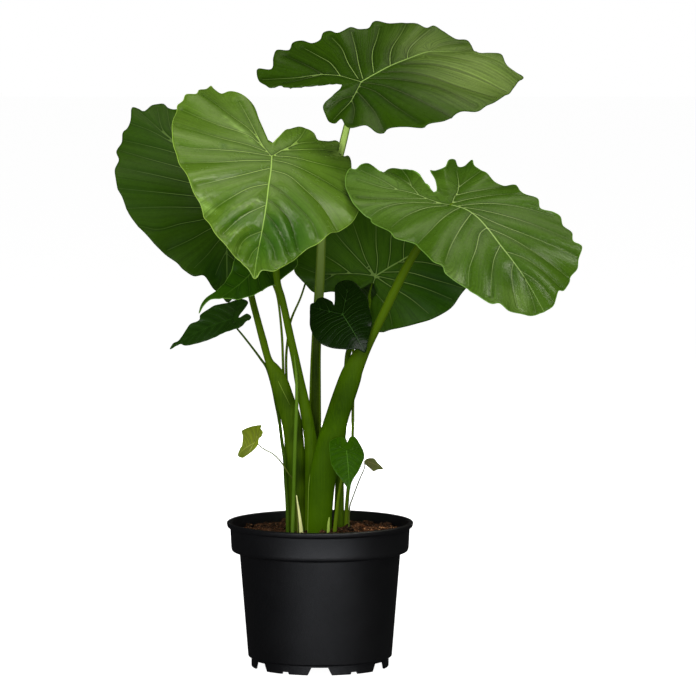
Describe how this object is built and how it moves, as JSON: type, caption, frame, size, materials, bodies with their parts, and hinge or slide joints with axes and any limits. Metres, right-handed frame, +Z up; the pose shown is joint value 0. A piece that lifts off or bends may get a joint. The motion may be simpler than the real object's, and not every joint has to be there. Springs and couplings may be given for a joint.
{
  "type": "potted alocasia plant",
  "caption": "Aroid plant with heart-shaped, wavy-edged, veined leaves on sheathed stalks, rooted in dark soil in a round black nursery pot.",
  "frame": {"origin": "centre of the whole plant's bounding box in plan, at the height of the pot's foot; the pot's axis stands about 35 mm to the left of it", "axes": "+Z up along the pot's axis; +X to the right and +Y away for someone who faces the side that the picture shows"},
  "size_m": [0.5978, 0.3486, 0.8218],
  "materials": {
    "leaf_mid": "satin",
    "leaf_light": "satin",
    "leaf_dark": "satin",
    "leaf_deep": "satin",
    "leaf_young": "satin",
    "leaf_olive": "satin",
    "stalk": "satin",
    "husk": "matte",
    "pot": "satin",
    "soil": "matte"
  },
  "bodies": {
    "root": {"pot": "pot", "soil": "soil", "blade_top": "leaf_mid", "stalk_top": "stalk", "blade_front": "leaf_light", "stalk_front": "stalk", "blade_right": "leaf_mid", "stalk_right": "stalk", "blade_left_back": "leaf_dark", "stalk_left_back": "stalk", "blade_back": "leaf_deep", "stalk_back": "stalk", "blade_left_middle": "leaf_mid", "stalk_left_middle": "stalk", "blade_left_low": "leaf_dark", "stalk_left_low": "stalk", "blade_centre": "leaf_deep", "stalk_centre": "stalk", "blade_low_right": "leaf_young", "stalk_low_right": "stalk", "blade_small_left": "leaf_olive", "stalk_small_left": "stalk", "blade_tiny_right": "leaf_olive", "stalk_tiny_right": "stalk", "blade_hidden": "leaf_dark", "stalk_hidden": "stalk", "spear": "stalk", "husk_left": "husk", "husk_right": "husk"}
  },
  "joints": []
}
